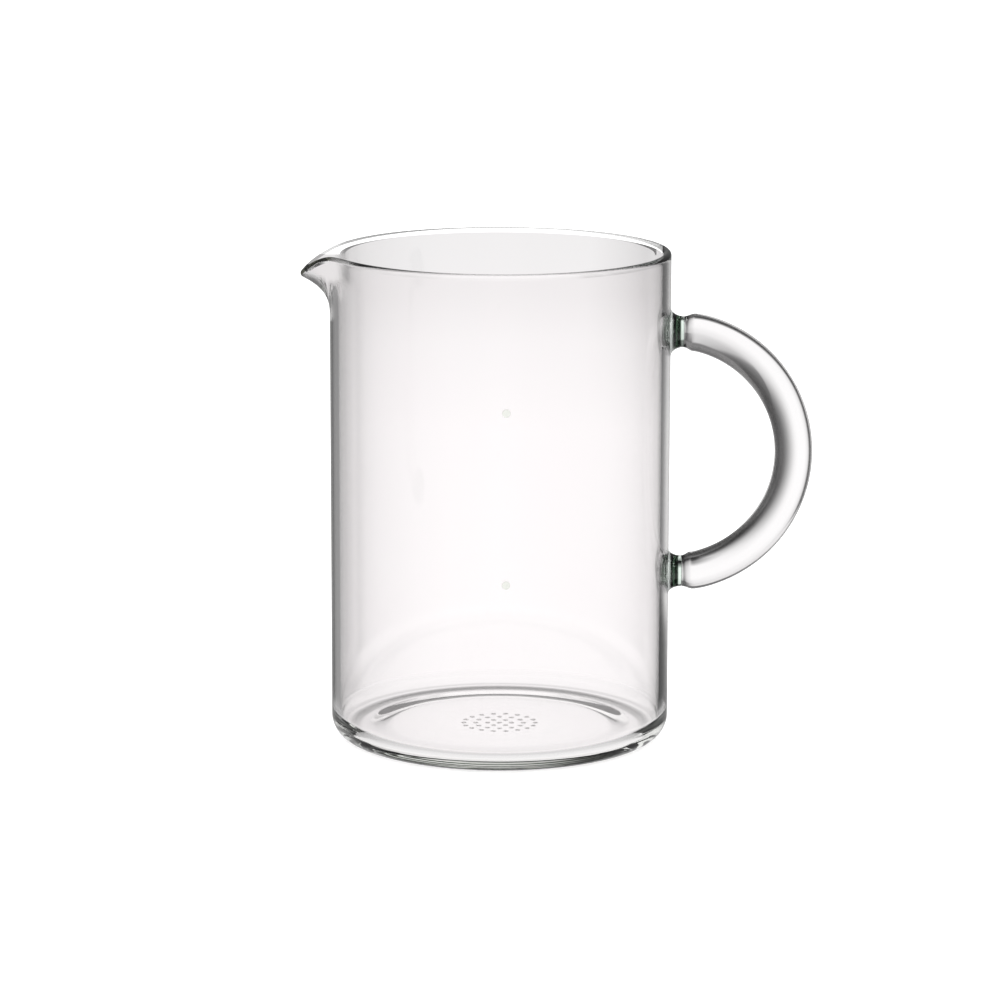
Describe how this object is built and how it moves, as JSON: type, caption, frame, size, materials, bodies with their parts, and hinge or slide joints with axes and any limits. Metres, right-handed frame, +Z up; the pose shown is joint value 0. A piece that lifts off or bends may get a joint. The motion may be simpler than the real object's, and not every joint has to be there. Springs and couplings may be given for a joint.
{
  "type": "coffee server",
  "caption": "Straight-sided clear glass coffee server with a drawn pouring lip, a bent glass handle welded on, and printed level marks.",
  "frame": {"origin": "centre of the foot ring, on the vessel's axis, in the plane that the server stands on", "axes": "+Z up along the vessel's axis, +X towards the handle, -X towards the pouring lip, Y across"},
  "size_m": [0.1431, 0.0951, 0.138],
  "materials": {
    "vessel_glass": "clear blown borosilicate glass, fire-polished",
    "handle_glass": "clear solid glass rod, fire-polished",
    "weld_glass": "clear fused glass",
    "level_enamel": "fired enamel print",
    "base_enamel": "fired enamel print"
  },
  "bodies": {
    "root": {"vessel": "vessel_glass", "handle": "handle_glass", "upper_weld": "weld_glass", "lower_weld": "weld_glass", "upper_level_mark": "level_enamel", "lower_level_mark": "level_enamel", "base_mark": "base_enamel"}
  },
  "joints": []
}
